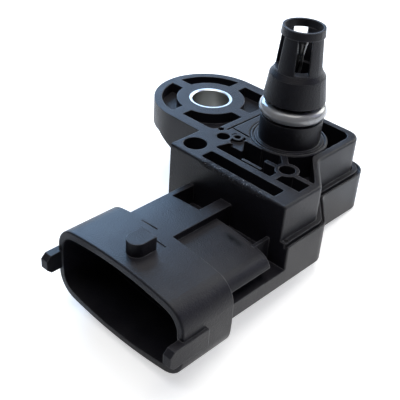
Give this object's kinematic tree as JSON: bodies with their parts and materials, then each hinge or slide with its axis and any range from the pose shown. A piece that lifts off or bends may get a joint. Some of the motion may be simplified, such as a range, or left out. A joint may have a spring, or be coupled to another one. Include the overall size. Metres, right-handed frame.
{
  "type": "manifold absolute pressure sensor",
  "caption": "Flange-mounted intake manifold pressure sensor with a caged air temperature probe, seal ring, steel fixing bush and an oval plug socket.",
  "frame": {"origin": "on the pressure port's axis, in the plane of the mounting face round its foot", "axes": "+Z along the pressure port towards its open cage; the fixing hole lies on the -X side; the plug socket opens towards -Y"},
  "size_m": [0.0505, 0.0613, 0.044],
  "materials": {
    "moulded_black": "fine matt grain, glass-filled black plastic",
    "cover_black": "smooth matt black plastic",
    "adhesive_grey": "cured silicone bead",
    "bush_steel": "bright zinc plated, turned",
    "seal_rubber": "moulded rubber with a silicone sheen",
    "bead_epoxy": "glossy epoxy drop",
    "lead_wire": "tinned wire",
    "sealing_compound": "poured sealing compound",
    "board_ceramic": "matt alumina",
    "frame_plastic": "smooth moulded plastic",
    "pedestal_glass": "clear glass",
    "silicon": "polished silicon",
    "gold_wire": "bright drawn gold wire",
    "clear_gel": "soft clear silicone gel",
    "capacitor_ceramic": "matt ceramic",
    "terminal_tin": "tin plated bronze"
  },
  "bodies": {
    "root": {"bond_wires": "gold_wire", "bottom_cover": "cover_black", "capacitor_1": "capacitor_ceramic", "capacitor_2": "capacitor_ceramic", "ceramic_substrate": "board_ceramic", "cover_adhesive": "adhesive_grey", "gel_frame": "frame_plastic", "glass_pedestal": "pedestal_glass", "housing": "moulded_black", "mounting_bush": "bush_steel", "port_seal_ring": "seal_rubber", "protective_gel": "clear_gel", "sensor_chip": "silicon", "terminal_1": "terminal_tin", "terminal_2": "terminal_tin", "terminal_3": "terminal_tin", "terminal_4": "terminal_tin", "thermistor_bead": "bead_epoxy", "thermistor_lead_1": "lead_wire", "thermistor_lead_2": "lead_wire", "thermistor_lead_seal": "sealing_compound"}
  },
  "joints": []
}
